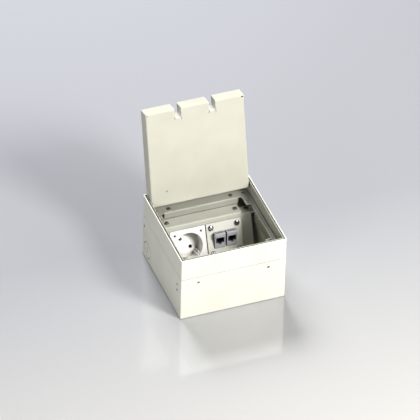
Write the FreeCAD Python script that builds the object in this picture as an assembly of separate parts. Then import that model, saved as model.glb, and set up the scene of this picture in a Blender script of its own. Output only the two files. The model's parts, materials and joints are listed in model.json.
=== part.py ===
import FreeCAD, Part
import math
import os

# Floor socket box: a square sheet-steel box with a height-adjustable upper frame, a hinged tray lid
# and a sloping carrier that holds one power socket and one plate with two data jacks.
# Millimetres. Z = 0 is the floor face of the box, X runs across the front, Y runs to the hinge side.

V = FreeCAD.Vector

# ---- overall box ---------------------------------------------------------------------------------
box_side = 150.0          # outside width and depth
rim_z = 100.0             # height of the rim over the floor face
split_z = 67.0            # top edge of the lower box
split_gap = 0.5           # parting gap between the lower box and the band
sheet = 1.5               # sheet of box, band, brackets and carrier
bend = 1.0                # inside bend radius of that sheet
edge_r = 1.2              # outside rounding of the folded box edges

# ---- upper frame ---------------------------------------------------------------------------------
thin = 1.2                # sheet of the inner frame, the ledge and the lid
rim_gap = 1.5             # gap between the band and the inner frame
ledge_deep = 19.4         # top face of the ledge below the rim
ledge_w = 6.4             # ledge width at the sides and the front
ledge_rear_in = 24.5      # front edge of the rear ledge, from the rear wall
lip_drop = 11.7           # height of the rear ledge with its down-turned lip
lip_in = 22.0             # the lip ends this far from the side walls
ledge_fold = 6.0          # flat part of the lip's strip on the ledge
rear_tab_w = 6.4          # corner tabs that reach forward from the rear ledge
rear_tab_in = 42.5        # their ends, from the rear wall
front_tab_w = 9.0         # corner tabs that reach back from the front ledge
front_tab_in = 31.0       # their ends, from the front wall
tab_hole_r = 1.8
access_in = (16.0, 35.5)  # small access holes in the rear corners of the ledge, from the rear wall
access_side = 12.5        # and from the side walls
lift_travel = 8.0         # height adjustment of the upper frame
guide_drop = 16.0         # guide flaps hang this far below the band
guide_in = 29.0           # the front guide flap ends this far from the side walls
side_guide_in = 35.0      # the side flaps begin this far from the front wall
side_guide_gap = 8.0      # and end this far before the carrier
rest_y = -1.5             # small rounded rest on each side ledge
rest_out = 1.6
rest_half = 2.0
rest_r = 1.2
gasket_w = 3.6
gasket_h = 1.1
gasket_inset = 0.6
gasket_stop = 9.0         # the strip ends this far before the hinge axis

# ---- lid -----------------------------------------------------------------------------------------
lid_gap = 0.3             # running gap at each side of the lid
lid_front_gap = 0.55      # and at its free edge, which swings on an arc
lid_depth = 18.0          # outside height of the tray lid
hinge_in = 10.0           # hinge axis from the rear wall
hinge_deep = 6.5          # and below the rim
lid_back = 5.0            # from the hinge axis to the back wall of the lid
open_angle = 103.6        # the lid stands this far open
lid_bend = 2.2            # outside radius of the folds of the tray
lid_corner_r = 3.0
lid_edge_r = 0.8          # upright corners of the free edge
lid_edge_in = 0.3         # and inside them
flange_low = 1.0          # the flanges of the notches end this far below the rim
flange_side = (0.3, 0.9)  # and stop short of the free edge and of the notch's inner end
relief_r = 1.4            # corner relief holes of the free edge
notch_x = 24.5            # centre of each cable notch
notch_w = 9.6
notch_len = 14.0
notch_relief = 1.6        # slit at each inner corner of a notch
earth_hole_r = 1.5
earth_hole_in = (22.4, 20.9)   # from the left edge and from the hinge edge of the tray
pin_r = 2.0
pin_play = 0.05
pin_reach = 3.4           # how far a pin stands through the inner frame
pin_head_r = 3.4
pin_head_t = 1.1

# ---- sloping carrier and its bracket ----------------------------------------------------------------
slope = 69.5              # angle of the carrier from level
carrier_in = 42.8         # upper edge of the sloping face, from the rear wall
carrier_up = 3.0          # and above the top edge of the lower box
carrier_side = (6.0, 14.0)     # the carrier ends this far inside the left and right ends of the bracket
carrier_len = 64.0
carrier_flange = 18.0
flange_step = 4.4         # the bracket flange lies this far below the carrier flange
bracket_gap = 8.5         # from the ends of the bracket at its ears to the side walls
neck_margin = 7.5         # bracket behind its ears, past the levelling screws
ear_gap = 10.0            # the ears end this far before the levelling screws
ear_width = 9.0
shelf_clear = 2.0         # gap of the rear angles to the slope and to the rear wall
window_gap = 0.6          # window of the bracket beside the modules
window_top = 5.0          # below the upper edge of the slope
window_low = 2.0          # above the lower end of the carrier
window_r = 2.5
bracket_leg = 21.0        # rear leg on the back wall
bracket_foot = 12.0
foot_screw_in = 11.0      # foot screws from the ends of the bracket
foot_short = 0.2          # their ends stay this far inside the floor face
flange_screw_in = 5.7     # flange screws from the ends of the carrier
flange_screw_y = 9.4      # and behind its upper edge
ear_screw_in = 3.4        # ear screws from the ends of the bracket
screw_r = 2.0             # shank of the M4 screws
screw_head_r = 3.2
screw_head_h = 1.9
cross_w = 0.8
thread_play = 0.05
thread_past = 1.5         # screw ends stand this far past their sheet
spacer_r = 4.0
shank_sides = 12          # sides of small shanks and bores
head_sides = 20           # sides of screw heads and washers
fit = 0.3                 # clearance between plugged-in plastic parts

# ---- levelling screws ------------------------------------------------------------------------------
level_rear_in = (30.5, 17.0)   # from the side and the rear wall
level_front_past = 3.0    # front screws, inside the ends of the bracket
level_front_in = 25.0     # and from the front wall
level_head_r = 2.8
level_head_h = 0.9
level_end = 15.0          # lower ends, below the top edge of the lower box
nut_flat = 7.0
nut_h = 3.0
level_key = 2.6           # across the flats of the key socket
level_key_deep = 1.6      # below the seat of the head
clip_r = 3.4
clip_h = 0.8

# ---- wall details ------------------------------------------------------------------------------------
knock_r = 12.75
knock_side_in = 19.6      # knock-outs of the side walls, from the rear wall
knock_rear_in = 35.0      # knock-outs of the rear wall, from the side walls
knock_z = 18.2
knock_slit = 0.9
knock_tab_deg = 16.0
slot_len = 9.0
slot_w = 1.8
front_hole_in = 25.0      # front holes from the side walls
front_hole_deep = 9.5     # and below the top edge
front_hole_r = 2.1
angle_margin = 7.0        # angles reach this far past their levelling screws
angle_end = 6.0           # and this far below their lowest rivets
angle_clear = 3.0         # the front angles begin this far from the front wall
rivet_front_in = 15.0     # rivets of the front angles, from the front wall
rivet_front_deep = (27.0, 17.0)
rivet_rear_in = 7.0       # rivets of the rear angles, from the rear wall
rivet_rear_deep = 16.0
rivet_r = 2.0
rivet_sink = 0.5
rivet_end_r = 2.8
rivet_end_t = 1.2
floor_hole_in = 17.0      # floor fixing holes from the walls
floor_hole_r = 2.75
earth_stud_in = (15.0, 17.0)   # from the right wall, and in front of the bracket's foot
earth_stud_len = 13.0
earth_collar = (4.2, 1.2)      # radius and thickness

# ---- power socket (measured in the carrier's own frame: x across, y up the slope, z out of it) -------
module = 50.2             # side of a module
module_mid = -2.35        # middle between both modules
module_gap = 1.7
module_drop = 32.0        # centre of both modules below the upper edge of the slope
socket_plate_t = 2.2
collar_r = 24.6
collar_h = 2.6
recess_r = 19.5
recess_depth = 17.5
cup_r = 22.0
cup_floor = 2.5
pin_pitch = 19.0
pin_hole_r = 2.6
pin_turn = -45.0          # the pins stand on a diagonal
rib_w = 5.4
rib_in = 3.0
rib_groove = 1.8
clip_w = 4.4
clip_t = 0.6
clip_bulge = 2.6
clip_back = 1.2           # the arms stand this far behind the wall of the recess
clip_steps = (3.0, 5.0, 9.0)   # tip, bulge and foot of the arms, below the collar
opening_r = 1.5           # corners of the carrier's openings
module_hole = 18.8        # half spacing of the four module holes
module_hole_r = 1.6
housing_side = 44.4
housing_depth = 33.0
housing_corner = 9.4      # its corners are cut off behind the module holes
sleeve_t = 0.7
sleeve_len = 11.0
sleeve_down = 2.5         # the contacts begin this far below the bottom of the cup
terminal_x = 9.5
terminal_r = 2.4

# ---- data plate and jacks -----------------------------------------------------------------------------
data_plate_t = 1.5
data_screw = 18.75        # half spacing of the four screws
data_screw_r = 4.0
data_screw_h = 2.4
slot_cut = 1.0
jack_pitch = 17.2
jack_w = 15.0
jack_top = -20.5          # along the slope, measured down from the upper edge
jack_bottom = -44.0
jack_out = 10.0           # the hood stands this far out at its top
hood_chin = 1.2           # lower edge of the hood over the plate
hood_chin_in = 1.5        # and up the slope from its end
hood_brow = 2.2           # thickness of the hood's top at its front
port_shift = (1.2, 0.6)   # the port lies this far off the middle of the hood's face
port_key = (4.0, 2.0)     # width and depth of the latch groove of the port
jack_port_w = 11.8
jack_port_h = 9.2
jack_port_deep = 11.0
jack_back = 16.0
jack_back_w = 14.0
contact_count = 8
contact_pitch = 1.02
contact_w = 0.5
contact_t = 0.4
label_w = 10.0
label_t = 1.0
label_len = 3.6
label_up = 2.6            # from the face of the plate
rear_block_h = 9.0

# ---- worked out from the sizes above -------------------------------------------------------------------
half = box_side / 2
box_in = half - sheet
bracket_half = box_in - bracket_gap
ledge_z = rim_z - ledge_deep
hinge_y = half - hinge_in
hinge_z = rim_z - hinge_deep
carrier_y = half - carrier_in
carrier_z = split_z + carrier_up
carrier_x = (carrier_side[0] - bracket_half, bracket_half - carrier_side[1])
carrier_screw_x = (carrier_x[0] + flange_screw_in, carrier_x[1] - flange_screw_in)
carrier_screw_y = carrier_y + flange_screw_y
level_rear = (half - level_rear_in[0], half - level_rear_in[1])
level_front = (bracket_half - level_front_past, level_front_in - half)
level_end_z = split_z - level_end
bracket_neck = level_rear[0] + neck_margin
ear_y = level_rear[1] - ear_gap
ear_screw_x = bracket_half - ear_screw_in
foot_screw_x = bracket_half - foot_screw_in
rivet_front_y = rivet_front_in - half
rivet_front_z = tuple(split_z - deep for deep in rivet_front_deep)
rivet_rear_y = half - rivet_rear_in
rivet_rear_z = split_z - rivet_rear_deep
floor_hole = half - floor_hole_in
module_step = (module + module_gap) / 2
socket_x = module_mid - module_step
data_x = module_mid + module_step
inner_out = box_in - rim_gap
inner_in = inner_out - thin
band_z = split_z + split_gap
ledge_under = ledge_z - thin
ledge_edge = inner_in - ledge_w
lid_half = inner_in - lid_gap
lid_z = rim_z - lid_depth
lid_rear = hinge_y + lid_back
lid_front = -(inner_in - lid_front_gap)
bracket_z = carrier_z - flange_step
shelf_z = bracket_z - sheet
slope_rad = math.radians(slope)
foot_top = 2 * sheet
foot_y = carrier_y - (bracket_z - foot_top) / math.tan(slope_rad)
foot_screw_y = foot_y - bracket_foot / 2
earth_stud_at = (half - earth_stud_in[0], foot_y - bracket_foot - earth_stud_in[1])
cup_base = collar_h - recess_depth - cup_floor
clip_radius = recess_r + clip_back
hood_low = jack_bottom + hood_chin_in
hood_high = jack_top - hood_brow
port_turn = math.degrees(math.atan2(jack_out - data_plate_t - hood_chin, hood_high - hood_low))
port_y = (hood_high + hood_low) / 2 + port_shift[0]
port_z = (jack_out + data_plate_t + hood_chin) / 2 + port_shift[1]


def outline(points, radii):
    """Closed wire in the XY plane through the points, each corner rounded by its radius."""
    if not isinstance(radii, (list, tuple)):
        radii = [radii] * len(points)
    count = len(points)
    edges = []
    ends = []
    for i in range(count):
        corner = V(points[i][0], points[i][1], 0)
        to_last = (V(points[i - 1][0], points[i - 1][1], 0) - corner).normalize()
        to_next = (V(points[(i + 1) % count][0], points[(i + 1) % count][1], 0) - corner).normalize()
        radius = radii[i]
        angle = to_last.getAngle(to_next)
        if radius <= 0 or angle > math.pi - 1e-4:
            ends.append((corner, corner))
            continue
        reach = radius / math.tan(angle / 2)
        middle = (to_last + to_next).normalize()
        centre = corner + middle * (radius / math.sin(angle / 2))
        start = corner + to_last * reach
        end = corner + to_next * reach
        edges.append((i, Part.Arc(start, centre - middle * radius, end).toShape()))
        ends.append((start, end))
    arcs = dict(edges)
    wire = []
    for i in range(count):
        if i in arcs:
            wire.append(arcs[i])
        start = ends[i][1]
        end = ends[(i + 1) % count][0]
        if start.distanceToPoint(end) > 1e-6:
            wire.append(Part.LineSegment(start, end).toShape())
    return Part.Wire(wire)


def plate(points, radii, low, high):
    """Prism over an outline, from one height to another."""
    face = Part.Face(outline(points, radii))
    face.translate(V(0, 0, low))
    return face.extrude(V(0, 0, high - low))


def rectangle(x0, x1, y0, y1, radii, low, high):
    return plate([(x0, y0), (x1, y0), (x1, y1), (x0, y1)], radii, low, high)


def along_x(points, radii, x0, x1):
    """Prism along X over an outline whose points are (y, z)."""
    solid = plate(points, radii, x0, x1)
    solid.rotate(V(0, 0, 0), V(1, 1, 1), 120)
    return solid


def along_y(points, radii, y0, y1):
    """Prism along Y over an outline whose points are (x, z)."""
    solid = plate(points, radii, -y1, -y0)
    solid.rotate(V(0, 0, 0), V(1, 0, 0), 90)
    return solid


def rod(radius, start, end):
    """Round rod from one point to another."""
    run = V(*end) - V(*start)
    return Part.makeCylinder(radius, run.Length, V(*start), run)


def folded(points, thickness, inside):
    """Section of a folded sheet: the points run along one face and the sheet lies on their left."""
    count = len(points)
    lines = []
    for i in range(count - 1):
        a = V(points[i][0], points[i][1], 0)
        b = V(points[i + 1][0], points[i + 1][1], 0)
        run = (b - a).normalize()
        lines.append((a, b, V(-run.y, run.x, 0), run))
    other = []
    radii = []
    other_radii = []
    for i in range(count):
        here = V(points[i][0], points[i][1], 0)
        if i == 0 or i == count - 1:
            normal = lines[0][2] if i == 0 else lines[-1][2]
            other.append(here + normal * thickness)
            radii.append(0)
            other_radii.append(0)
            continue
        before = lines[i - 1]
        after = lines[i]
        middle = (before[2] + after[2]).normalize()
        other.append(here + middle * (thickness / middle.dot(before[2])))
        left_turn = before[3].cross(after[3]).z > 0
        radii.append(inside + thickness if left_turn else inside)
        other_radii.append(inside if left_turn else inside + thickness)
    shape = [(p[0], p[1]) for p in points] + [(p.x, p.y) for p in reversed(other)]
    return shape, radii + list(reversed(other_radii))


def mirrored(shape):
    return shape.mirror(V(0, 0, 0), V(1, 0, 0))


def both_sides(shape):
    return [shape, mirrored(shape)]


def prism(sides, radius, low, high, centre):
    """Upright prism whose corners lie on a circle. Small turned parts are such prisms, to stay light."""
    points = [(centre[0] + radius * math.cos(math.tau * k / sides),
               centre[1] + radius * math.sin(math.tau * k / sides)) for k in range(sides)]
    return plate(points, 0, low, high)


def hexagon(flat, low, high, centre):
    return prism(6, flat / math.sqrt(3), low, high, centre)


def bored(shape, radius, low, high, centre):
    """Cut a light bore whose flats touch a circle."""
    return shape.cut(prism(shank_sides, radius / math.cos(math.pi / shank_sides), low, high, centre))


def sloped(shape):
    """Stand a shape made in the carrier's own frame on the slope."""
    shape.rotate(V(0, 0, 0), V(1, 0, 0), slope)
    shape.translate(V(0, carrier_y, carrier_z))
    return shape


def opened(shape):
    """Turn a shape made with the lid closed to where the open lid stands."""
    shape.rotate(V(0, hinge_y, hinge_z), V(1, 0, 0), -open_angle)
    return shape


def save(name, shape):
    solids = shape if isinstance(shape, list) else [shape]
    if len(solids) == 1:
        solids[0].exportStep("parts/" + name + ".step")
    else:
        Part.makeCompound(solids).exportStep("parts/" + name + ".step")


# ---- lower box and what is fixed to it -------------------------------------------------------------
def knock_out(centre, axis):
    """Cutter for a knock-out: a ring slit held by two tabs, and a screwdriver slot in its middle."""
    depth = sheet * 3
    ring = Part.makeCylinder(knock_r, depth, V(0, 0, -depth / 2))
    ring = ring.cut(Part.makeCylinder(knock_r - knock_slit, depth, V(0, 0, -depth / 2)))
    tab = knock_r * math.radians(knock_tab_deg)
    bar = Part.makeBox(3 * knock_r, tab, depth, V(-1.5 * knock_r, -tab / 2, -depth / 2))
    cutter = ring.cut(bar)
    slot = rectangle(-slot_w / 2, slot_w / 2, -slot_len / 2, slot_len / 2, 0, -depth / 2, depth / 2)
    cutter = Part.makeCompound([cutter, slot])
    cutter.rotate(V(0, 0, 0), V(1, 0, 0), 90)
    if axis == "x":
        cutter.rotate(V(0, 0, 0), V(0, 0, 1), 90)
    cutter.translate(V(*centre))
    return cutter


def base_box():
    body = rectangle(-half, half, -half, half, edge_r, 0, split_z)
    rim = [e for e in body.Edges if e.BoundBox.ZMax < 1e-6]
    body = body.makeChamfer(edge_r * 0.5, rim)
    body = body.cut(rectangle(-box_in, box_in, -box_in, box_in, 0, sheet, split_z + 1))
    cutters = [knock_out((side * (half - sheet / 2), half - knock_side_in, knock_z), "x") for side in (-1, 1)]
    cutters += [knock_out((side * (half - knock_rear_in), half - sheet / 2, knock_z), "y") for side in (-1, 1)]
    for side in (-1, 1):
        x = side * (half - front_hole_in)
        z = split_z - front_hole_deep
        cutters.append(rod(front_hole_r, (x, -half - 1, z), (x, -box_in + 1, z)))
        for z in rivet_front_z:
            cutters.append(rod(rivet_r, (side * (half + 1), rivet_front_y, z), (side * (box_in - 1), rivet_front_y, z)))
        cutters.append(rod(rivet_r, (side * (half + 1), rivet_rear_y, rivet_rear_z),
                           (side * (box_in - 1), rivet_rear_y, rivet_rear_z)))
        for y in (-floor_hole, floor_hole):
            cutters.append(rod(floor_hole_r, (side * floor_hole, y, -1), (side * floor_hole, y, sheet + 1)))
    for side in (-1, 1):
        cutters.append(rod(screw_r, (side * foot_screw_x, foot_screw_y, -1), (side * foot_screw_x, foot_screw_y, 3)))
    cutters.append(rod(screw_r, (earth_stud_at[0], earth_stud_at[1], -1), (earth_stud_at[0], earth_stud_at[1], 3)))
    return body.cut(cutters)


def wall_rivets():
    """Flush rivets through the side walls and the angles behind them."""
    rivets = []
    places = [(rivet_front_y, z) for z in rivet_front_z] + [(rivet_rear_y, rivet_rear_z)]
    for y, z in places:
        shank = prism(head_sides, rivet_r, 0, 2 * sheet + rivet_end_t - rivet_sink, (0, 0))
        end = prism(head_sides, rivet_end_r, 2 * sheet - rivet_sink, 2 * sheet + rivet_end_t - rivet_sink, (0, 0))
        body = shank.fuse(end).removeSplitter()
        body.rotate(V(0, 0, 0), V(0, 1, 0), -90)
        body.translate(V(half - rivet_sink, y, z))
        rivets += both_sides(body)
    return rivets


def corner_bracket(y0, y1, x_in, top, bottom):
    """Angle on the right side wall: a leg on the wall and a shelf that points into the box."""
    section, radii = folded([(box_in, bottom), (box_in, top), (x_in, top)], sheet, bend)
    return along_y(section, radii, y0, y1)


def front_bracket():
    body = corner_bracket(angle_clear - box_in, level_front[1] + angle_margin, level_front[0] - angle_margin,
                          bracket_z, rivet_front_z[0] - angle_end)
    holes = [rod(rivet_r, (half, rivet_front_y, z), (box_in - 4, rivet_front_y, z)) for z in rivet_front_z]
    holes.append(rod(screw_r + thread_play, (level_front[0], level_front[1], bracket_z + 1),
                     (level_front[0], level_front[1], shelf_z - 3)))
    return body.cut(holes)


def rear_bracket():
    body = corner_bracket(carrier_y + shelf_clear, box_in - shelf_clear, bracket_half - ear_width,
                          shelf_z, rivet_rear_z - angle_end - 1)
    holes = [rod(rivet_r, (half, rivet_rear_y, rivet_rear_z), (box_in - 4, rivet_rear_y, rivet_rear_z)),
             rod(screw_r, (ear_screw_x, carrier_screw_y, shelf_z + 1),
                 (ear_screw_x, carrier_screw_y, shelf_z - 2 * sheet)),
             Part.makeBox(box_in - sheet - bend - bracket_neck, half, 3 * sheet,
                          V(bracket_neck, ear_y, shelf_z - 2 * sheet))]
    return body.cut(holes)


def support_bracket():
    """Folded bracket: leg on the back wall, level flange, sloping face with a window, foot on the floor."""
    line = [(foot_y - bracket_foot, foot_top), (foot_y, foot_top), (carrier_y, bracket_z),
            (box_in, bracket_z), (box_in, bracket_z - bracket_leg)]
    section, radii = folded(list(reversed(line)), sheet, bend)
    body = along_x(section, radii, -bracket_half, bracket_half)
    cutters = []
    for side in (-1, 1):
        low, high = sorted((side * bracket_neck, side * (bracket_half + 1)))
        cutters.append(Part.makeBox(high - low, half - ear_y, split_z, V(low, ear_y, 2 * foot_top)))
        cutters.append(rod(screw_r, (side * ear_screw_x, carrier_screw_y, bracket_z + 1),
                           (side * ear_screw_x, carrier_screw_y, shelf_z - 1)))
        cutters.append(rod(screw_r, (side * foot_screw_x, foot_screw_y, 2 * foot_top), (side * foot_screw_x, foot_screw_y, 0)))
        cutters.append(rod(screw_r + thread_play, (side * level_rear[0], level_rear[1], bracket_z + 1),
                           (side * level_rear[0], level_rear[1], shelf_z - 1)))
    for x in carrier_screw_x:
        cutters.append(rod(screw_r, (x, carrier_screw_y, bracket_z + 1), (x, carrier_screw_y, shelf_z - 1)))
    reach = module_step + module / 2 + window_gap
    window = rectangle(module_mid - reach, module_mid + reach, window_low - carrier_len, -window_top, window_r,
                       -2 * window_top, window_top)
    cutters.append(sloped(window))
    return body.cut(cutters)


def module_carrier():
    """Sloping plate with a level flange on top and two module openings."""
    end = -carrier_len
    drop = V(0, end, 0)
    low = (carrier_y + drop.y * math.cos(slope_rad), carrier_z + drop.y * math.sin(slope_rad))
    line = [low, (carrier_y, carrier_z), (carrier_y + carrier_flange, carrier_z)]
    section, radii = folded(list(reversed(line)), sheet, bend)
    body = along_x(section, radii, carrier_x[0], carrier_x[1])
    cutters = [rod(screw_r, (x, carrier_screw_y, carrier_z + 1), (x, carrier_screw_y, carrier_z - 3))
               for x in carrier_screw_x]
    opening = housing_side / 2 + fit
    for x in (socket_x, data_x):
        reach = opening if x == socket_x else jack_pitch / 2 + jack_back_w / 2 + fit
        window = rectangle(x - reach, x + reach, -module_drop - reach, -module_drop + reach, opening_r,
                           -2 * sheet, sheet)
        cutters.append(sloped(window))
    for sx in (-1, 1):
        for sy in (-1, 1):
            at = V(data_x + sx * data_screw, -module_drop + sy * data_screw, -2 * sheet)
            cutters.append(sloped(Part.makeCylinder(screw_r, 4 * sheet, at)))
    return body.cut(cutters)


def headed(radius, height, chamfer, length, at):
    """Screw with a chamfered round head, standing upright with its head's seat at a point."""
    x, y, z = at
    head = prism(head_sides, radius, z, z + height, (x, y))
    top = [e for e in head.Edges if e.BoundBox.ZMin > z + height - 1e-6]
    shank = prism(shank_sides, screw_r, z - length, z, (x, y))
    return head.makeChamfer(chamfer, top).fuse(shank)


def pan_screw(at, length):
    """Pan-head screw with a cross recess."""
    body = headed(screw_head_r, screw_head_h, screw_head_h * 0.4, length, at)
    arm = screw_head_r * 0.6
    for size in ((arm, cross_w / 2), (cross_w / 2, arm)):
        bar = Part.makeBox(2 * size[0], 2 * size[1], screw_head_h,
                           V(at[0] - size[0], at[1] - size[1], at[2] + screw_head_h / 2))
        body = body.cut(bar)
    return body.removeSplitter()


def carrier_screws():
    return [pan_screw((x, carrier_screw_y, carrier_z), flange_step + sheet + thread_past) for x in carrier_screw_x]


def carrier_spacers():
    spacers = []
    for x in carrier_screw_x:
        at = (x, carrier_screw_y)
        body = prism(head_sides, spacer_r, bracket_z, carrier_z - sheet, at)
        spacers.append(bored(body, screw_r, bracket_z - 1, carrier_z, at))
    return spacers


def bracket_screws():
    ears = [pan_screw((side * ear_screw_x, carrier_screw_y, bracket_z), 2 * sheet + thread_past) for side in (-1, 1)]
    feet = [pan_screw((side * foot_screw_x, foot_screw_y, foot_top), foot_top - foot_short) for side in (-1, 1)]
    return ears + feet


def levelling_nuts():
    nuts = []
    for x, y in (level_rear, level_front):
        for side in (-1, 1):
            nut = hexagon(nut_flat, shelf_z - nut_h, shelf_z, (side * x, y))
            nuts.append(bored(nut, screw_r + thread_play, shelf_z - 2 * nut_h, shelf_z + 1, (side * x, y)))
    return nuts


def earth_stud():
    x, y = earth_stud_at
    stud = prism(shank_sides, screw_r, sheet / 2, earth_stud_len, (x, y))
    return stud.fuse(prism(head_sides, earth_collar[0], sheet, sheet + earth_collar[1], (x, y))).removeSplitter()


def earth_nut():
    seat = sheet + earth_collar[1]
    return bored(hexagon(nut_flat, seat, seat + nut_h, earth_stud_at), screw_r, 0, 2 * earth_stud_len, earth_stud_at)


# ---- upper frame -----------------------------------------------------------------------------------
def frame_band():
    """Outer band of the upper frame, with a hem at its foot that meets the inner frame."""
    body = rectangle(-half, half, -half, half, edge_r, band_z, rim_z)
    body = body.cut(rectangle(-box_in, box_in, -box_in, box_in, 0, band_z + sheet, rim_z + 1))
    return body.cut(rectangle(-inner_out, inner_out, -inner_out, inner_out, 0, band_z - 1, band_z + sheet + 1))


def frame_inner():
    """Inner wall on three sides, low wall at the hinge side, and guide flaps down into the box."""
    low = rectangle(-inner_out, inner_out, -inner_out, inner_out, 0, band_z, ledge_under)
    high = rectangle(-inner_out, inner_out, -inner_out, inner_out, 0, ledge_under, rim_z)
    high = high.cut(Part.makeBox(box_side, rim_gap + thin + 1, rim_z, V(-half, inner_in, ledge_under)))
    body = low.fuse(high)
    flap_y0 = side_guide_in - half
    flap_y1 = carrier_y - side_guide_gap
    flap_half = half - guide_in
    for side in (-1, 1):
        x = min(side * inner_out, side * inner_in)
        flap = along_x([(flap_y0, band_z + 1), (flap_y0, band_z - guide_drop),
                        (flap_y1, band_z - guide_drop), (flap_y1, band_z + 1)],
                       [0, 3, 3, 0], x, x + thin)
        body = body.fuse(flap)
    front = along_y([(-flap_half, band_z + 1), (-flap_half, band_z - guide_drop),
                     (flap_half, band_z - guide_drop), (flap_half, band_z + 1)],
                    [0, 3, 3, 0], -inner_out, -inner_in)
    body = body.fuse(front)
    body = body.cut(rectangle(-inner_in, inner_in, -inner_in, inner_in, 0, 0, rim_z + 1))
    for side in (-1, 1):
        body = body.cut(rod(pin_r, (side * (inner_in - 1), hinge_y, hinge_z), (side * (inner_out + 1), hinge_y, hinge_z)))
    return body.removeSplitter()


def ledge_plate():
    """Ledge round the opening with corner tabs, a rounded rest on each side and a lip at the rear."""
    tab_in = ledge_edge - rear_tab_w
    tab_y = half - rear_tab_in
    front_tab_y = front_tab_in - half
    rear_y = half - ledge_rear_in
    lip_to = half - lip_in
    front_in = ledge_edge - front_tab_w
    y_in = -ledge_edge
    right = [(front_in, y_in), (front_in, front_tab_y), (ledge_edge, front_tab_y), (ledge_edge, tab_y),
             (tab_in, tab_y), (tab_in, rear_y)]
    rounds = [2.0, 4.0, 1.5, 1.5, 2.6, 3.5]
    left = [(-x, y) for x, y in reversed(right)]
    opening = plate(right + left, rounds + list(reversed(rounds)), ledge_under - 1, ledge_z + 1)
    body = rectangle(-inner_in, inner_in, -inner_in, inner_in, 0, ledge_under, ledge_z)
    body = body.fuse(rectangle(-inner_out, inner_out, inner_in, inner_out, 0, ledge_under, ledge_z))
    body = body.cut(opening)
    section, radii = folded([(rear_y, ledge_z - lip_drop), (rear_y, ledge_z),
                             (rear_y + ledge_fold, ledge_z)][::-1], thin, bend)
    lip = along_x(section, radii, -lip_to, lip_to)
    strip = Part.makeBox(2 * lip_to, ledge_fold - 1, 3 * thin, V(-lip_to, rear_y - 1, ledge_under - thin))
    body = body.cut(strip).fuse(lip)
    rest = rectangle(ledge_edge - rest_out, ledge_edge + 1, rest_y - rest_half, rest_y + rest_half,
                     [rest_r, 0, 0, rest_r], ledge_under, ledge_z)
    body = body.fuse(both_sides(rest))
    holes = []
    for side in (-1, 1):
        x = side * (half - access_side)
        for inset in access_in:
            y = half - inset
            holes.append(rod(tab_hole_r, (x, y, ledge_z + 1), (x, y, ledge_under - 1)))
        for x, y in (level_rear, level_front):
            holes.append(rod(screw_r, (side * x, y, ledge_z + 1), (side * x, y, ledge_under - 1)))
    return body.cut(holes).removeSplitter()


def lid_gasket():
    """Soft strip on the front and side ledges under the closed lid."""
    outer = inner_in - gasket_inset
    end_y = hinge_y - gasket_stop
    inner = outer - gasket_w
    points = [(-outer, -outer), (outer, -outer), (outer, end_y), (inner, end_y),
              (inner, -inner), (-inner, -inner), (-inner, end_y), (-outer, end_y)]
    return plate(points, [1, 1, 0.8, 0.8, 0.6, 0.6, 0.8, 0.8], ledge_z, ledge_z + gasket_h)


def hinge_pin(side):
    """Headed pin: its head is trapped between the band and the inner frame."""
    start = side * (inner_in - pin_reach)
    shaft = rod(pin_r, (start, hinge_y, hinge_z), (side * inner_out, hinge_y, hinge_z))
    head = rod(pin_head_r, (side * inner_out, hinge_y, hinge_z), (side * (inner_out + pin_head_t), hinge_y, hinge_z))
    tip = [e for e in shaft.Edges if abs(e.BoundBox.XMin - start) < 1e-6 and abs(e.BoundBox.XMax - start) < 1e-6]
    return shaft.makeChamfer(pin_r / 5, tip).fuse(head).removeSplitter()


def levelling_screws():
    screws = []
    for x, y in (level_rear, level_front):
        for side in (-1, 1):
            at = (side * x, y)
            head = prism(head_sides, level_head_r, ledge_z, ledge_z + level_head_h, at)
            shank = prism(shank_sides, screw_r, level_end_z, ledge_z, at)
            key = hexagon(level_key, ledge_z - level_key_deep, ledge_z + 2 * level_head_h, at)
            screws.append(head.fuse(shank).cut(key).removeSplitter())
    return screws


def levelling_clips():
    """Retaining washers that hold the levelling screws captive under the ledge."""
    clips = []
    for x, y in (level_rear, level_front):
        for side in (-1, 1):
            clip = prism(head_sides, clip_r, ledge_under - clip_h, ledge_under, (side * x, y))
            clips.append(bored(clip, screw_r, ledge_under - 2 * clip_h, ledge_under + clip_h, (side * x, y)))
    return clips


# ---- lid --------------------------------------------------------------------------------------------
def notch_cut(centre, low, high):
    """Plan of a cable notch: a slot from the free edge with a slit at each inner corner."""
    end = lid_front + notch_len
    w = notch_w / 2
    slot = rectangle(centre - w, centre + w, lid_front - 1, end, 0, low, high)
    for side in (-1, 1):
        x = centre + side * w
        slit = rectangle(x - notch_relief / 2, x + notch_relief / 2, end - notch_relief, end + 2.5 * thin, 0, low, high)
        slot = slot.fuse(slit)
    return slot


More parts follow.
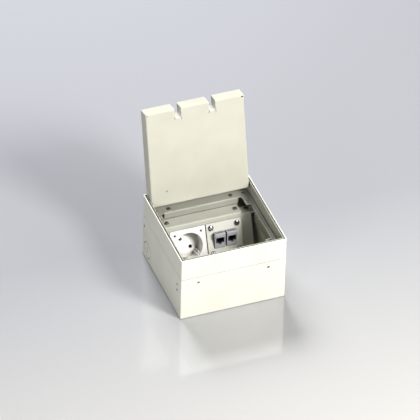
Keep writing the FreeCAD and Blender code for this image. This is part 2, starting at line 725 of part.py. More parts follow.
def lid_tray():
    """Folded tray: flat underside, walls all round, two cable notches with turned-up flanges."""
    shell = rectangle(-lid_half, lid_half, lid_front, lid_rear,
                      [lid_edge_r, lid_edge_r, lid_corner_r, lid_corner_r], lid_z, rim_z)
    under = [e for e in shell.Edges if e.BoundBox.ZMax < lid_z + 1e-6]
    shell = shell.makeFillet(lid_bend, under)
    inside = rectangle(-lid_half + thin, lid_half - thin, lid_front + thin, lid_rear - thin,
                       [lid_edge_in, lid_edge_in, lid_corner_r - thin, lid_corner_r - thin],
                       lid_z + thin, rim_z + 1)
    body = shell.cut(inside)
    flange_high = rim_z - flange_low
    for centre in (-notch_x, notch_x):
        w = notch_w / 2
        end = lid_front + notch_len
        for side in (-1, 1):
            x = sorted((centre + side * w, centre + side * (w + thin)))
            flange = rectangle(x[0], x[1], lid_front + flange_side[0], end - flange_side[1], 0,
                               lid_z + thin / 2, flange_high)
            body = body.fuse(flange)
        tab = rectangle(centre - w + notch_relief, centre + w - notch_relief, end, end + thin, 0,
                        lid_z + thin / 2, flange_high)
        body = body.cut(notch_cut(centre, lid_z - 1, lid_z + thin + 0.01)).fuse(tab)
        body = body.cut(rectangle(centre - w, centre + w, lid_front - 1, end, 0, lid_z - 1, rim_z + 1))
    for side in (-1, 1):
        corner = lid_half - 2 * relief_r
        y = lid_front + 2 * relief_r
        body = body.cut(rod(relief_r, (side * corner, y, lid_z - 1), (side * corner, y, lid_z + 2)))
        body = body.cut(rod(pin_r + pin_play, (side * (lid_half - 3), hinge_y, hinge_z),
                            (side * (lid_half + 1), hinge_y, hinge_z)))
    at = (-lid_half + earth_hole_in[0], lid_rear - earth_hole_in[1])
    body = body.cut(rod(earth_hole_r, (at[0], at[1], lid_z - 1), (at[0], at[1], lid_z + 2)))
    return opened(body.removeSplitter())


# ---- power socket, in the carrier's own frame ----------------------------------------------------------
def at_socket(shape):
    shape.translate(V(socket_x, -module_drop, 0))
    return sloped(shape)


def turned(shape, angle):
    shape.rotate(V(0, 0, 0), V(0, 0, 1), angle)
    return shape


def spring_line(radius):
    """Line of the earth spring from its strap to its tip, as (distance from the centre, height)."""
    tip = collar_h - clip_steps[0]
    strap = cup_base - fit - clip_t
    return [(0, strap), (radius, strap), (radius, tip - clip_steps[2]), (radius - clip_bulge, tip - clip_steps[1]),
            (radius - clip_bulge * 0.6, tip)]


def socket_front():
    """Front moulding: square plate, raised collar and round recess with keying ribs."""
    side = module / 2
    body = rectangle(-side, side, -side, side, 1.5, 0, socket_plate_t)
    rim = [e for e in body.Edges if e.BoundBox.ZMin > socket_plate_t - 1e-6]
    body = body.makeChamfer(0.5, rim)
    collar = Part.makeCylinder(collar_r, collar_h)
    collar = collar.makeChamfer(0.8, [e for e in collar.Edges if e.BoundBox.ZMin > collar_h - 1e-6])
    cup = Part.makeCylinder(cup_r, collar_h - cup_base, V(0, 0, cup_base))
    body = body.fuse([collar, cup])
    recess = Part.makeCylinder(recess_r, recess_depth + 1, V(0, 0, collar_h - recess_depth))
    recess = recess.makeChamfer(0.8, [e for e in recess.Edges if e.BoundBox.ZMax < collar_h - recess_depth + 1e-6])
    body = body.cut(recess)
    ribs = []
    for side in (-1, 1):
        rib = rectangle(recess_r - rib_in, recess_r + 0.6, -rib_w / 2, rib_w / 2, 0, cup_base + 1, collar_h - 3.5)
        rib = rib.cut(Part.makeBox(rib_in / 2, rib_groove, 4 * rib_in,
                                   V(recess_r - rib_in, -rib_groove / 2, collar_h - 3.5 - 4 * rib_in)))
        ribs.append(turned(rib, pin_turn + (0 if side > 0 else 180)))
    body = body.fuse(ribs)
    cutters = []
    for side in (-1, 1):
        hole = Part.makeCylinder(pin_hole_r, 3 * cup_floor, V(side * pin_pitch / 2, 0, cup_base - 1))
        cutters.append(turned(hole, pin_turn))
        slot = Part.makeBox(cup_r, clip_w + 0.6, collar_h - 2.2 - cup_base + 1,
                            V(recess_r - 1.6, -clip_w / 2 - 0.3, cup_base - 1))
        cutters.append(turned(slot, pin_turn + 90 * side))
    for sx in (-1, 1):
        for sy in (-1, 1):
            cutters.append(Part.makeCylinder(module_hole_r, 9, V(sx * module_hole, sy * module_hole, -4)))
    return at_socket(body.cut(cutters).removeSplitter())


def socket_body():
    """Rear housing with the pocket for the recess, the strap channel and the bores of both contacts."""
    side = housing_side / 2
    floor_z = cup_base
    cut = side - housing_corner
    points = [(side, cut), (cut, side), (-cut, side), (-side, cut),
              (-side, -cut), (-cut, -side), (cut, -side), (side, -cut)]
    body = plate(points, 0, -housing_depth, -fit)
    edge = [e for e in body.Edges if e.BoundBox.ZMax < -housing_depth + 1e-6]
    body = body.makeChamfer(1.5, edge)
    body = body.cut(Part.makeCylinder(cup_r + 0.1, housing_depth, V(0, 0, floor_z)))
    channel = Part.makeBox(2 * clip_radius + 2, clip_w + 1.0, 2.0, V(-clip_radius - 1, -clip_w / 2 - 0.5, floor_z - 1.6))
    body = body.cut(turned(channel, pin_turn + 90))
    for side in (-1, 1):
        deep = sleeve_len + sleeve_down + fit
        bore = Part.makeCylinder(pin_hole_r + sleeve_t, deep, V(side * pin_pitch / 2, 0, floor_z - deep))
        body = body.cut(turned(bore, pin_turn))
        spread = Part.makeCylinder(terminal_r, 6, V(side * terminal_x, -housing_side / 2 - 1, -housing_depth + 8), V(0, 1, 0))
        body = body.cut(spread)
    return at_socket(body)


def earth_spring():
    """One bent strip: strap behind the recess and a spring arm up each side."""
    section, radii = folded(spring_line(clip_radius), clip_t, clip_t)
    arm = along_y(section, radii, -clip_w / 2, clip_w / 2)
    other = arm.copy()
    other.rotate(V(0, 0, 0), V(0, 0, 1), 180)
    spring = arm.fuse(other).removeSplitter()
    return at_socket(turned(spring, pin_turn + 90))


def contact_sleeve(side):
    """Slotted tube that grips one pin of a plug."""
    low = cup_base - sleeve_len - sleeve_down
    tube = Part.makeCylinder(pin_hole_r + sleeve_t - 0.1, sleeve_len, V(0, 0, low))
    tube = tube.cut(Part.makeCylinder(pin_hole_r - 0.1, sleeve_len, V(0, 0, low + 1.2)))
    tube = tube.cut(Part.makeBox(0.8, 4 * pin_hole_r, sleeve_len, V(-0.4, -2 * pin_hole_r, low + 3.5)))
    tube.translate(V(side * pin_pitch / 2, 0, 0))
    return at_socket(turned(tube, pin_turn))


def terminal_screws():
    screws = []
    for side in (-1, 1):
        body = Part.makeCylinder(terminal_r - 0.2, 3.5, V(side * terminal_x, -housing_side / 2 + 1.0, -housing_depth + 8), V(0, 1, 0))
        slot = Part.makeBox(2 * terminal_r, 1.0, 0.8, V(side * terminal_x - terminal_r, -housing_side / 2 + 1.0, -housing_depth + 7.6))
        screws.append(at_socket(body.cut(slot)))
    return screws


# ---- data plate and its two jacks, in the carrier's own frame -----------------------------------------------
def data_plate():
    side = module / 2
    low = -module_drop - side
    body = rectangle(data_x - side, data_x + side, low, low + 2 * side, 1.0, 0, data_plate_t)
    cutters = []
    for side_x in (-1, 1):
        for side_y in (-1, 1):
            cutters.append(Part.makeCylinder(screw_r, 9, V(data_x + side_x * data_screw, -module_drop + side_y * data_screw, -4)))
        x = data_x + side_x * jack_pitch / 2
        cutters.append(Part.makeBox(jack_back_w + 0.2, jack_top - jack_bottom - 2, 9,
                                    V(x - jack_back_w / 2 - 0.1, jack_bottom + 1, -4)))
    return sloped(body.cut(cutters))


def data_plate_screws():
    screws = []
    for sx in (-1, 1):
        for sy in (-1, 1):
            at = (data_x + sx * data_screw, -module_drop + sy * data_screw, data_plate_t)
            body = headed(data_screw_r, data_screw_h, data_screw_h * 0.45, data_plate_t + sheet + 2 * thread_past, at)
            slot = Part.makeBox(2 * data_screw_r, slot_cut, data_screw_h,
                                V(at[0] - data_screw_r, at[1] - slot_cut / 2, data_plate_t + data_screw_h * 0.6))
            screws.append(sloped(body.cut(slot).removeSplitter()))
    return screws


def jack_housing(side):
    """Wedge-shaped hood that turns the port down to face forward, with a body behind the plate."""
    x = data_x + side * jack_pitch / 2
    hood = along_x([(jack_top, data_plate_t), (jack_top, jack_out), (hood_high, jack_out),
                    (hood_low, hood_chin + data_plate_t), (jack_bottom, data_plate_t)],
                   [0, 0.8, 0.8, 0.6, 0], x - jack_w / 2, x + jack_w / 2)
    back = Part.makeBox(jack_back_w, jack_top - jack_bottom - 2.2, jack_back + data_plate_t,
                        V(x - jack_back_w / 2, jack_bottom + 1.1, -jack_back))
    body = hood.fuse(back)
    label = Part.makeBox(label_w, label_t, label_len, V(x - label_w / 2, jack_top - label_t, data_plate_t + label_up))
    return sloped(body.cut([jack_port(x), label]).removeSplitter())


def at_port(shape, x):
    """Set a shape made at the mouth of a port on the slanting face of its hood."""
    shape.rotate(V(0, 0, 0), V(1, 0, 0), port_turn)
    shape.translate(V(x, port_y, port_z))
    return shape


def jack_port(x):
    """Cutter for the square port, which enters at right angles to the face of the hood."""
    deep = jack_port_deep + hood_chin_in + hood_brow
    low = -jack_port_h / 2
    body = Part.makeBox(jack_port_w, jack_port_h, deep, V(-jack_port_w / 2, low, -jack_port_deep))
    key = Part.makeBox(port_key[0], jack_port_h, deep, V(-port_key[0] / 2, low - port_key[1], -jack_port_deep))
    return at_port(body.fuse(key), x)


def jack_contacts(side):
    """Row of spring wires inside the port, carried by a small insert."""
    x = data_x + side * jack_pitch / 2
    top = jack_port_h / 2
    insert = Part.makeBox(jack_port_w - 0.4, 1.6, 3.0, V(-jack_port_w / 2 + 0.2, top - 1.8, -jack_port_deep + 0.1))
    wires = []
    for k in range(contact_count):
        wx = (k - (contact_count - 1) / 2) * contact_pitch
        line = [(top - 0.9, -jack_port_deep + 1), (top - 0.9, -3.2), (top - 3.6, -7.6)]
        section = folded(line, contact_t, 0)[0]
        wires.append(along_x(section, 0, wx - contact_w / 2, wx + contact_w / 2))
    return sloped(at_port(insert.fuse(wires).removeSplitter(), x))


def jack_label(side):
    """Clear-edged blank label that slides into the top of a hood."""
    x = data_x + side * jack_pitch / 2
    body = Part.makeBox(label_w - 0.2, label_t - 0.2, label_len - 0.2,
                        V(x - label_w / 2 + 0.1, jack_top - label_t, data_plate_t + label_up + 0.1))
    return sloped(body)


def jack_rear(side):
    """Terminal block on the back of a jack, where the cable is punched down."""
    x = data_x + side * jack_pitch / 2
    wide = jack_back_w - 1
    low = jack_bottom + 2.5
    high = jack_top - jack_bottom - 5
    body = rectangle(x - wide / 2, x + wide / 2, low, low + high, 1.0, -jack_back - rear_block_h, -jack_back)
    for k in range(4):
        y = low + (k + 0.5) * high / 4
        for edge in (-1, 1):
            cut = Part.makeBox(2.4, 0.7, 5, V(x + edge * wide / 2 - 1.2, y - 0.35, -jack_back - rear_block_h - 0.5))
            body = body.cut(cut)
    return sloped(body)


def main():
    os.makedirs("parts", exist_ok=True)
    save("base_box", base_box())
    save("wall_rivets", wall_rivets())
    front = both_sides(front_bracket())
    rear = both_sides(rear_bracket())
    for k, side in ((0, "right"), (1, "left")):
        save("front_bracket_" + side, front[k])
        save("rear_bracket_" + side, rear[k])
    save("support_bracket", support_bracket())
    save("module_carrier", module_carrier())
    save("carrier_spacers", carrier_spacers())
    save("carrier_screws", carrier_screws())
    save("bracket_screws", bracket_screws())
    save("levelling_nuts", levelling_nuts())
    save("earth_stud", earth_stud())
    save("earth_nut", earth_nut())
    save("frame_band", frame_band())
    save("frame_inner", frame_inner())
    save("ledge_plate", ledge_plate())
    save("lid_gasket", lid_gasket())
    save("hinge_pin_left", hinge_pin(-1))
    save("hinge_pin_right", hinge_pin(1))
    save("levelling_screws", levelling_screws())
    save("levelling_clips", levelling_clips())
    save("lid_tray", lid_tray())
    save("socket_front", socket_front())
    save("socket_body", socket_body())
    save("earth_spring", earth_spring())
    save("contact_live", contact_sleeve(-1))
    save("contact_neutral", contact_sleeve(1))
    save("terminal_screws", terminal_screws())
    save("data_plate", data_plate())
    save("data_plate_screws", data_plate_screws())
    for side, name in ((-1, "left"), (1, "right")):
        save("jack_" + name, jack_housing(side))
        save("jack_contacts_" + name, jack_contacts(side))
        save("jack_label_" + name, jack_label(side))
        save("jack_rear_" + name, jack_rear(side))


main()
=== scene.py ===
import json
import math

import bmesh
import bpy
from mathutils import Matrix, Vector


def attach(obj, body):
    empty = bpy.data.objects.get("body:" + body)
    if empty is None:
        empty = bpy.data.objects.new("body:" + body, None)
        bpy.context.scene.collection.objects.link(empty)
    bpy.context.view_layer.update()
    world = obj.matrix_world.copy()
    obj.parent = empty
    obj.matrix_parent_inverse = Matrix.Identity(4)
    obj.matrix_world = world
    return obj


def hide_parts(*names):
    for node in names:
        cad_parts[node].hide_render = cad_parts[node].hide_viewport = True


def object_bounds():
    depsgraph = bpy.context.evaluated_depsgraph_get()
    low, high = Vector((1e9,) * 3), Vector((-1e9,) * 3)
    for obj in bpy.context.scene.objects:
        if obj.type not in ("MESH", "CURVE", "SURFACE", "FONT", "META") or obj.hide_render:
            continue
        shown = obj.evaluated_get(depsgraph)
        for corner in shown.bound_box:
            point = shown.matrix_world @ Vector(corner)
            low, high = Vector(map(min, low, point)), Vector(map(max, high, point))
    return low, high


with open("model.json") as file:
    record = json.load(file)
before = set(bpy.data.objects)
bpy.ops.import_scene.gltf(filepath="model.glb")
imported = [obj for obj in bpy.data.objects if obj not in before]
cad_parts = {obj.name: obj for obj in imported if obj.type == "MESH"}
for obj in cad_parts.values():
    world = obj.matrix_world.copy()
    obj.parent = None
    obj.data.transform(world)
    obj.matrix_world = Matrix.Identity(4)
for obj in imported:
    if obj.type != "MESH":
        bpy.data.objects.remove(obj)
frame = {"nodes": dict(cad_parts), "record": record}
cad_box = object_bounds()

# Looks of the floor socket box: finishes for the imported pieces, the small repeated parts, light and camera.
# Metres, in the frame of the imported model.
MM = 0.001


# ---- colours and nodes -------------------------------------------------------------------------------
def colour(code):
    """Linear RGBA of an sRGB hex code."""
    parts = [int(code[k:k + 2], 16) / 255 for k in (1, 3, 5)]
    return [c / 12.92 if c <= 0.04045 else ((c + 0.055) / 1.055) ** 2.4 for c in parts] + [1.0]


def add(tree, kind, inputs=None, **settings):
    """Add a node: settings are its properties, inputs map a socket to a value or to another socket."""
    node = tree.nodes.new(kind)
    for name, value in settings.items():
        setattr(node, name, value)
    for name, value in (inputs or {}).items():
        if isinstance(value, bpy.types.NodeSocket):
            tree.links.new(value, node.inputs[name])
        else:
            node.inputs[name].default_value = value
    return node


def new_material(name):
    material = bpy.data.materials.new(name)
    material.use_nodes = True
    tree = material.node_tree
    tree.nodes.clear()
    shader = add(tree, "ShaderNodeBsdfPrincipled")
    output = add(tree, "ShaderNodeOutputMaterial", {"Surface": shader.outputs["BSDF"]})
    output.is_active_output = True
    place = add(tree, "ShaderNodeTexCoord").outputs["Object"]
    return material, tree, shader, place


def noise(tree, place, size, detail=2.0, stretch=(1, 1, 1)):
    """Noise whose lumps are about `size` metres across."""
    scaled = add(tree, "ShaderNodeMapping", {"Vector": place, "Scale": stretch})
    return add(tree, "ShaderNodeTexNoise", {"Vector": scaled.outputs["Vector"], "Scale": 1 / size,
                                            "Detail": detail, "Roughness": 0.5}).outputs["Fac"]


def ramp(tree, value, low, high, dark, light):
    """Map a range of a value to a range of colours or grey levels."""
    node = add(tree, "ShaderNodeValToRGB", {"Fac": value})
    node.color_ramp.elements[0].position = low
    node.color_ramp.elements[1].position = high
    node.color_ramp.elements[0].color = dark
    node.color_ramp.elements[1].color = light
    return node.outputs["Color"]


def grey(level):
    return (level, level, level, 1)


def paint_recess_shade(tree, even, recess_shade_colour, reach):
    """Painted shade: a colour that falls to a share of itself in recesses narrower than `reach` metres."""
    open_sky = add(tree, "ShaderNodeAmbientOcclusion", {"Distance": reach}, samples=8).outputs["AO"]
    shade_share = ramp(tree, open_sky, 0.25, 0.8, colour(recess_shade_colour), grey(1))
    node = add(tree, "ShaderNodeMix", data_type="RGBA", blend_type="MULTIPLY")
    node.inputs[0].default_value = 1.0
    tree.links.new(even, node.inputs[6])
    tree.links.new(shade_share, node.inputs[7])
    return node.outputs[2]


def bump(tree, shader, height, strength, depth, edge=0.25 * MM):
    """Fine relief over edges that look broken by a small radius."""
    soft = add(tree, "ShaderNodeBevel", {"Radius": edge}, samples=4).outputs["Normal"]
    node = add(tree, "ShaderNodeBump", {"Height": height, "Strength": strength, "Distance": depth, "Normal": soft})
    tree.links.new(node.outputs["Normal"], shader.inputs["Normal"])


def edges(tree, width):
    """1 on sharp edges and 0 on flat faces, from how far a rounded normal leans off the face."""
    soft = add(tree, "ShaderNodeBevel", {"Radius": width}, samples=4).outputs["Normal"]
    face = add(tree, "ShaderNodeNewGeometry").outputs["True Normal"]
    lean = add(tree, "ShaderNodeVectorMath", {0: soft, 1: face}, operation="DOT_PRODUCT").outputs["Value"]
    return ramp(tree, lean, 0.90, 0.995, grey(1), grey(0))


def blend(tree, share, first, second):
    node = add(tree, "ShaderNodeMix", data_type="RGBA")
    for socket, value in ((node.inputs[0], share), (node.inputs[6], first), (node.inputs[7], second)):
        if isinstance(value, bpy.types.NodeSocket):
            tree.links.new(value, socket)
        else:
            socket.default_value = value
    return node.outputs[2]


# ---- finishes -----------------------------------------------------------------------------------------
def powder_coat(name, dark, light, edge, rough):
    """Cream polyester powder coat on sheet steel: a satin skin with a fine orange-peel texture."""
    material, tree, shader, place = new_material(name)
    cloud = noise(tree, place, 45 * MM)
    coat = ramp(tree, cloud, 0.35, 0.65, colour(dark), colour(light))
    # Sharp edges lightened towards the edge colour: a painted highlight along rims and bends.
    edge_highlit = blend(tree, edges(tree, 0.35 * MM), coat, colour(edge))
    # Gaps and seams darken towards #1C1C1A within 3 mm: painted shade.
    tree.links.new(paint_recess_shade(tree, edge_highlit, "#1C1C1A", 3 * MM), shader.inputs["Base Color"])
    peel = noise(tree, place, 1.6 * MM, 3.0)          # real peel is near 0.6 mm, drawn coarser to show
    tree.links.new(ramp(tree, peel, 0.3, 0.7, grey(rough - 0.05), grey(rough + 0.06)), shader.inputs["Roughness"])
    bump(tree, shader, peel, 0.10, 0.10 * MM)
    shader.inputs["IOR"].default_value = 1.5
    return material


def plated_steel(name, dark, light, rough, recess_shade_colour="#8A8A8A"):
    """Zinc-plated steel, barrel-plated: grey metal with faint cloudy passivation."""
    material, tree, shader, place = new_material(name)
    cloud = noise(tree, place, 2.5 * MM, 4.0)
    plating = ramp(tree, cloud, 0.3, 0.7, colour(dark), colour(light))
    # Recesses darken towards the shade colour within 6 mm: painted shade.
    tree.links.new(paint_recess_shade(tree, plating, recess_shade_colour, 6 * MM), shader.inputs["Base Color"])
    scratch = noise(tree, place, 0.6 * MM, 3.0, (1, 1, 6))
    tree.links.new(ramp(tree, scratch, 0.3, 0.7, grey(rough - 0.08), grey(rough + 0.1)), shader.inputs["Roughness"])
    bump(tree, shader, scratch, 0.08, 0.05 * MM)
    shader.inputs["Metallic"].default_value = 1.0
    return material


def moulded_plastic(name, dark, light, rough, grain, recess_shade_colour="#FFFFFF"):
    """Injection-moulded plastic: even colour, soft flow clouds and a fine spark-eroded grain."""
    material, tree, shader, place = new_material(name)
    cloud = noise(tree, place, 18 * MM)
    even = ramp(tree, cloud, 0.35, 0.65, colour(dark), colour(light))
    # Recesses darken towards the shade colour within 12 mm: painted shade; the white default leaves the colour even.
    tree.links.new(paint_recess_shade(tree, even, recess_shade_colour, 12 * MM), shader.inputs["Base Color"])
    fine = noise(tree, place, grain, 2.0)
    tree.links.new(ramp(tree, fine, 0.3, 0.7, grey(rough - 0.04), grey(rough + 0.05)), shader.inputs["Roughness"])
    bump(tree, shader, fine, 0.06, 0.05 * MM)
    shader.inputs["IOR"].default_value = 1.46
    return material


def finishes():
    return {
        # Each powder coat's third colour is the painted highlight on its edges.
        "painted_sheet": powder_coat("cream_powder_coat", "#DAD9CC", "#E0DFD2", "#FFFFFA", 0.38),
        # The lid, inside, carrier and plate coats are darker and paler copies of the one cream sheet coat: painted
        # shade, and painted light on the plate.
        "painted_lid": powder_coat("cream_powder_coat_of_the_lid", "#B9B7A9", "#C0BEB0", "#FFFFFA", 0.40),
        "painted_inside": powder_coat("cream_powder_coat_inside", "#98978C", "#A1A095", "#F2F1E8", 0.42),
        "painted_carrier": powder_coat("cream_powder_coat_of_the_carrier", "#B6B5A9", "#BEBDB1", "#FFFFFA", 0.40),
        "painted_plate": powder_coat("pale_powder_coat_of_the_plate", "#E0DFD5", "#E6E5DB", "#F2F1EA", 0.36),
        "zinc_steel": plated_steel("zinc_plated_steel", "#77787A", "#939496", 0.28),
        "rivet_steel": plated_steel("dulled_rivet_steel", "#333435", "#434446", 0.60),
        "bright_steel": plated_steel("nickel_plated_steel", "#8C8D8E", "#A5A6A7", 0.16),
        # The last colour of the white and grey mouldings and of the brass is the painted shade in their recesses.
        "white_moulding": moulded_plastic("white_urea_moulding", "#F8F7F3", "#FCFBF8", 0.26, 1.0 * MM, "#9A958D"),
        "grey_moulding": moulded_plastic("grey_abs_moulding", "#AEAFB6", "#B8B9BF", 0.36, 0.8 * MM, "#14120F"),
        "light_moulding": moulded_plastic("pale_polycarbonate_moulding", "#D2D2CC", "#DBDBD5", 0.44, 0.8 * MM),
        "soft_seal": moulded_plastic("grey_foam_seal", "#7D7D76", "#92928A", 0.85, 0.7 * MM),
        "contact_brass": plated_steel("gilded_brass", "#A9793A", "#C99A55", 0.28, "#3A3028"),
        "label_blank": moulded_plastic("smoked_label_insert", "#3A3E48", "#464A54", 0.30, 0.9 * MM),
    }


def dress(made):
    """The record's slot for every node; the inner sheets, the carrier and its support take darker copies of the cream
    coat as painted shade, and the data plate a paler copy as painted light.
    """
    slots = {row["node"]: row["material_slot"] for row in frame["record"]["subparts"]}
    slots.update(wall_rivets="rivet_steel", frame_inner="painted_inside", ledge_plate="painted_inside",
                 data_plate="painted_plate", support_bracket="painted_carrier", module_carrier="painted_carrier")
    for node, piece in frame["nodes"].items():
        piece.data.materials.clear()
        piece.data.materials.append(made[slots[node]])


# ---- fasteners -------------------------------------------------------------------------------------------
def revolved(name, profile, sides=40):
    """Closed turned mesh about Z from (radius, height) points that start and end on the axis."""
    shape = bmesh.new()
    rings = []
    for radius, height in profile:
        if radius == 0:
            rings.append([shape.verts.new((0, 0, height))] * sides)
            continue
        rings.append([shape.verts.new((radius * math.cos(math.tau * k / sides),
                                       radius * math.sin(math.tau * k / sides), height)) for k in range(sides)])
    for upper, lower in zip(rings, rings[1:]):
        for k in range(sides):
            corners = [upper[k], upper[(k + 1) % sides], lower[(k + 1) % sides], lower[k]]
            shape.faces.new(dict.fromkeys(corners))
    bmesh.ops.recalc_face_normals(shape, faces=shape.faces)
    for face in shape.faces:
        face.smooth = True
    mesh = bpy.data.meshes.new(name)
    shape.to_mesh(mesh)
    shape.free()
    part = bpy.data.objects.new(name, mesh)
    bpy.context.scene.collection.objects.link(part)
    return part


def domed_head(radius, height, shank, length, steps=8):
    """Profile of a domed head with a plain shank below it; height 0 is the top of the dome."""
    rim = height * 0.3
    dome = [(radius * math.sin(k * math.pi / 2 / steps), (height - rim) * (math.cos(k * math.pi / 2 / steps) - 1))
            for k in range(steps + 1)]
    dome[0] = (0, 0)
    return dome + [(radius, 0.02 * MM - height), (radius - 0.1 * MM, -height), (shank, -height),
                   (shank, 0.3 * MM - height - length), (shank - 0.3 * MM, -height - length), (0, -height - length)]


def cut_bars(part, bars):
    """Cut straight-sided recesses into the top of a screw: (length, width, depth) each."""
    for k, (length, width, depth) in enumerate(bars):
        shape = bmesh.new()
        bmesh.ops.create_cube(shape, size=1)
        bmesh.ops.scale(shape, vec=(length, width, 2 * depth), verts=shape.verts)
        mesh = bpy.data.meshes.new("recess")
        shape.to_mesh(mesh)
        shape.free()
        tool = bpy.data.objects.new("recess", mesh)
        bpy.context.scene.collection.objects.link(tool)
        cut = part.modifiers.new("recess", "BOOLEAN")
        cut.operation = "DIFFERENCE"
        cut.solver = "EXACT"
        cut.object = tool
        part.data = bpy.data.meshes.new_from_object(part.evaluated_get(bpy.context.evaluated_depsgraph_get()))
        part.modifiers.clear()
        bpy.data.objects.remove(tool)


def tops(node, axis):
    """Middle of the highest ring, along an axis, of every solid in a node."""
    shape = bmesh.new()
    shape.from_mesh(frame["nodes"][node].data)
    bmesh.ops.remove_doubles(shape, verts=shape.verts, dist=0.001 * MM)
    waiting = set(shape.verts)
    found = []
    while waiting:
        island = [waiting.pop()]
        for vertex in island:
            for edge in vertex.link_edges:
                other = edge.other_vert(vertex)
                if other in waiting:
                    waiting.remove(other)
                    island.append(other)
        high = max(v.co.dot(axis) for v in island)
        ring = [v.co.copy() for v in island if v.co.dot(axis) > high - 0.01 * MM]
        found.append(sum(ring, Vector()) / len(ring))
    shape.free()
    return found


def socket_id(tree, name):
    return next(item.identifier for item in tree.interface.items_tree if item.name == name)


def set_on_points():
    """Geometry Nodes: one fastener on every point, leaned over and turned at random about its own axis."""
    tree = bpy.data.node_groups.new("set_on_points", "GeometryNodeTree")
    for name, kind in (("Points", "NodeSocketGeometry"), ("Fastener", "NodeSocketObject"),
                       ("Lean", "NodeSocketFloat"), ("Seed", "NodeSocketInt"), ("Finish", "NodeSocketMaterial")):
        tree.interface.new_socket(name, in_out="INPUT", socket_type=kind)
    tree.interface.new_socket("Mesh", in_out="OUTPUT", socket_type="NodeSocketGeometry")
    given = add(tree, "NodeGroupInput").outputs
    part = add(tree, "GeometryNodeObjectInfo", {"Object": given["Fastener"]})
    lean = add(tree, "ShaderNodeCombineXYZ", {"X": given["Lean"]})
    stood = add(tree, "GeometryNodeInstanceOnPoints",
                {"Points": given["Points"], "Instance": part.outputs["Geometry"], "Rotation": lean.outputs["Vector"]})
    spin = add(tree, "FunctionNodeRandomValue", {"Seed": given["Seed"]}, data_type="FLOAT")
    spin.inputs[3].default_value = math.tau
    turn = add(tree, "ShaderNodeCombineXYZ", {"Z": spin.outputs[1]})
    turned = add(tree, "GeometryNodeRotateInstances",
                 {"Instances": stood.outputs["Instances"], "Rotation": turn.outputs["Vector"]})
    real = add(tree, "GeometryNodeRealizeInstances", {"Geometry": turned.outputs["Instances"]})
    done = add(tree, "GeometryNodeSetMaterial",
               {"Geometry": real.outputs["Geometry"], "Material": given["Finish"]})
    add(tree, "NodeGroupOutput", {"Mesh": done.outputs["Geometry"]})
    return tree


def cut_thread():
    """Geometry Nodes: a helical ridge round a core, hung below the origin."""
    tree = bpy.data.node_groups.new("cut_thread", "GeometryNodeTree")
    for name, kind in (("Head", "NodeSocketGeometry"), ("Core Radius", "NodeSocketFloat"),
                       ("Ridge", "NodeSocketFloat"), ("Top", "NodeSocketFloat"), ("Length", "NodeSocketFloat"),
                       ("Turns", "NodeSocketFloat"), ("Finish", "NodeSocketMaterial")):
        tree.interface.new_socket(name, in_out="INPUT", socket_type=kind)
    tree.interface.new_socket("Mesh", in_out="OUTPUT", socket_type="NodeSocketGeometry")
    given = add(tree, "NodeGroupInput").outputs
    helix = add(tree, "GeometryNodeCurveSpiral",
                {"Resolution": 18, "Rotations": given["Turns"], "Start Radius": given["Core Radius"],
                 "End Radius": given["Core Radius"], "Height": given["Length"]})
    section = add(tree, "GeometryNodeCurvePrimitiveCircle", {"Resolution": 3, "Radius": given["Ridge"]})
    ridge = add(tree, "GeometryNodeCurveToMesh",
                {"Curve": helix.outputs["Curve"], "Profile Curve": section.outputs["Curve"], "Fill Caps": True})
    low = add(tree, "ShaderNodeMath", {0: given["Top"], 1: given["Length"]}, operation="SUBTRACT")
    place = add(tree, "ShaderNodeCombineXYZ", {"Z": low.outputs["Value"]})
    hung = add(tree, "GeometryNodeTransform",
               {"Geometry": ridge.outputs["Mesh"], "Translation": place.outputs["Vector"]})
    joined = add(tree, "GeometryNodeJoinGeometry")
    for piece in (given["Head"], hung.outputs["Geometry"]):
        tree.links.new(piece, joined.inputs["Geometry"])
    real = add(tree, "GeometryNodeRealizeInstances", {"Geometry": joined.outputs["Geometry"]})
    done = add(tree, "GeometryNodeSetMaterial",
               {"Geometry": real.outputs["Geometry"], "Material": given["Finish"]})
    add(tree, "NodeGroupOutput", {"Mesh": done.outputs["Geometry"]})
    return tree


def grown(piece, tree, values):
    """Run a Geometry Nodes tree on a piece and keep the result as its plain mesh."""
    modifier = piece.modifiers.new(tree.name, "NODES")
    modifier.node_group = tree
    for name, value in values.items():
        modifier[socket_id(tree, name)] = value
    result = bpy.data.meshes.new_from_object(piece.evaluated_get(bpy.context.evaluated_depsgraph_get()))
    piece.modifiers.clear()
    result.name = piece.name
    piece.data = result
    return piece


def fasteners(name, nodes, part, lean, finish, body, tree, seed):
    """Stand a detailed fastener where every solid of some CAD nodes is, in place of them."""
    axis = Vector((0, -math.sin(lean), math.cos(lean)))
    mesh = bpy.data.meshes.new(name)
    mesh.from_pydata([top for node in nodes for top in tops(node, axis)], [], [])
    piece = bpy.data.objects.new(name, mesh)
    bpy.context.scene.collection.objects.link(piece)
    grown(piece, tree, {"Fastener": part, "Lean": lean, "Seed": seed, "Finish": finish})
    bpy.data.objects.remove(part)
    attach(piece, body)
    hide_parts(*nodes)


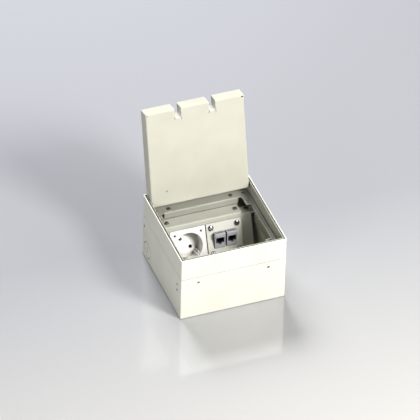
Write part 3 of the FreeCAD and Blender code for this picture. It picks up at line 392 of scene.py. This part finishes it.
def all_fasteners(made):
    tree = set_on_points()
    slope = math.radians(69.5)
    pan = revolved("pan_screw", domed_head(3.2 * MM, 1.9 * MM, 1.96 * MM, 2.7 * MM))
    cut_bars(pan, [(3.8 * MM, 0.75 * MM, 1.1 * MM), (0.75 * MM, 3.8 * MM, 1.1 * MM)])
    domed = revolved("domed_screw", domed_head(4.0 * MM, 2.4 * MM, 1.96 * MM, 5.8 * MM))
    cut_bars(domed, [(9 * MM, 1.0 * MM, 1.0 * MM)])
    fasteners("pan_screws", ["carrier_screws", "bracket_screws"], pan, 0.0, made["zinc_steel"],
              "base", tree, 3)
    fasteners("domed_screws", ["data_plate_screws"], domed, slope, made["bright_steel"],
              "base", tree, 8)
    level = revolved("levelling_screw", [(0, -0.9 * MM), (1.3 * MM, -0.9 * MM), (1.4 * MM, 0), (2.5 * MM, 0),
                                         (2.8 * MM, -0.3 * MM), (2.8 * MM, -0.9 * MM), (1.72 * MM, -0.9 * MM),
                                         (1.72 * MM, -29.2 * MM), (1.4 * MM, -29.5 * MM), (0, -29.5 * MM)])
    grown(level, cut_thread(), {"Core Radius": 1.7 * MM, "Ridge": 0.28 * MM, "Top": -2.2 * MM,
                                "Length": 26.6 * MM, "Turns": 38.0, "Finish": made["zinc_steel"]})
    fasteners("levelling_threads", ["levelling_screws"], level, 0.0, made["zinc_steel"],
              "frame", tree, 5)


# ---- floor, light and camera ------------------------------------------------------------------------------
def studio_floor():
    mesh = bpy.data.meshes.new("studio_floor")
    mesh.from_pydata([(-9, -9, 0), (9, -9, 0), (9, 9, 0), (-9, 9, 0)], [], [(0, 1, 2, 3)])
    floor = bpy.data.objects.new("studio_floor", mesh)
    floor.location.z = cad_box[0][2] - 0.3 * MM
    bpy.context.scene.collection.objects.link(floor)
    material, tree, shader, place = new_material("pale_glossy_floor")
    # The floor darkens from front to back: a painted fall-off of the light.
    reach = add(tree, "ShaderNodeSeparateXYZ", {"Vector": place}).outputs["Y"]
    away = add(tree, "ShaderNodeMapRange", {"Value": reach, "From Min": -0.4, "From Max": 0.5}).outputs["Result"]
    shade = ramp(tree, away, 0.0, 0.55, colour("#B9B7B3"), colour("#96979B"))
    tree.links.new(shade, shader.inputs["Base Color"])
    shader.inputs["Roughness"].default_value = 0.10
    shader.inputs["IOR"].default_value = 1.7
    mesh.materials.append(material)


def area_light(name, position, aim, size, power, tint):
    data = bpy.data.lights.new(name, "AREA")
    data.shape = "DISK"
    data.size = size
    data.energy = power
    data.color = tint
    lamp = bpy.data.objects.new(name, data)
    lamp.location = position
    lamp.rotation_euler = (Vector(aim) - Vector(position)).to_track_quat("-Z", "Y").to_euler()
    bpy.context.scene.collection.objects.link(lamp)


def around(azimuth, elevation, distance):
    """Place on a sphere round the box: azimuth 0 is the front and 90 the right side, in degrees."""
    turn = math.radians(azimuth)
    rise = math.radians(elevation)
    return Vector((math.sin(turn) * math.cos(rise), -math.cos(turn) * math.cos(rise), math.sin(rise))) * distance


def studio_light():
    aim = (0, 0, 0.08)
    lift = Vector(aim)
    area_light("key_light", around(30, 40, 2.2) + lift, aim, 0.6, 50, (1.0, 0.998, 0.975))
    area_light("right_key", around(40, 22, 2.2) + lift, aim, 0.8, 18, (1.0, 0.998, 0.975))
    area_light("left_fill", around(-50, 15, 2.2) + lift, aim, 0.8, 17.5, (1.0, 1.0, 0.98))
    area_light("top_light", around(-20, 80, 2.2) + lift, aim, 0.8, 4, (1.0, 1.0, 1.0))
    area_light("back_light", around(180, 45, 2.2) + lift, aim, 0.8, 80, (0.97, 0.98, 1.0))
    bpy.data.objects["back_light"].visible_glossy = False
    world = bpy.data.worlds.new("studio_world")
    bpy.context.scene.world = world
    world.use_nodes = True
    tree = world.node_tree
    tree.nodes.clear()
    backing = add(tree, "ShaderNodeBackground", {"Color": colour("#C6C9D3"), "Strength": 0.12})
    add(tree, "ShaderNodeOutputWorld", {"Surface": backing.outputs["Background"]})


def camera():
    """Long lens from the front left and above, with a slight roll."""
    azimuth = math.radians(-21.54)
    elevation = math.radians(39.36)
    roll = math.radians(1.73)
    distance = 7.6
    frame_width = 0.5634          # width that the picture takes in at the object
    aim = Vector((-7.2, 0, 113.6)) * MM
    back = Vector((math.sin(azimuth) * math.cos(elevation), -math.cos(azimuth) * math.cos(elevation),
                   math.sin(elevation)))
    data = bpy.data.cameras.new("camera")
    data.sensor_width = 36.0
    data.lens = data.sensor_width * distance / frame_width
    data.clip_end = 50
    eye = bpy.data.objects.new("camera", data)
    turn = (-back).to_track_quat("-Z", "Y").to_matrix() @ Matrix.Rotation(roll, 3, "Z")
    eye.matrix_world = Matrix.Translation(aim + back * distance) @ turn.to_4x4()
    bpy.context.scene.collection.objects.link(eye)
    bpy.context.scene.camera = eye


made = finishes()
dress(made)
all_fasteners(made)
studio_floor()
studio_light()
camera()
bpy.context.scene.view_settings.view_transform = "Standard"
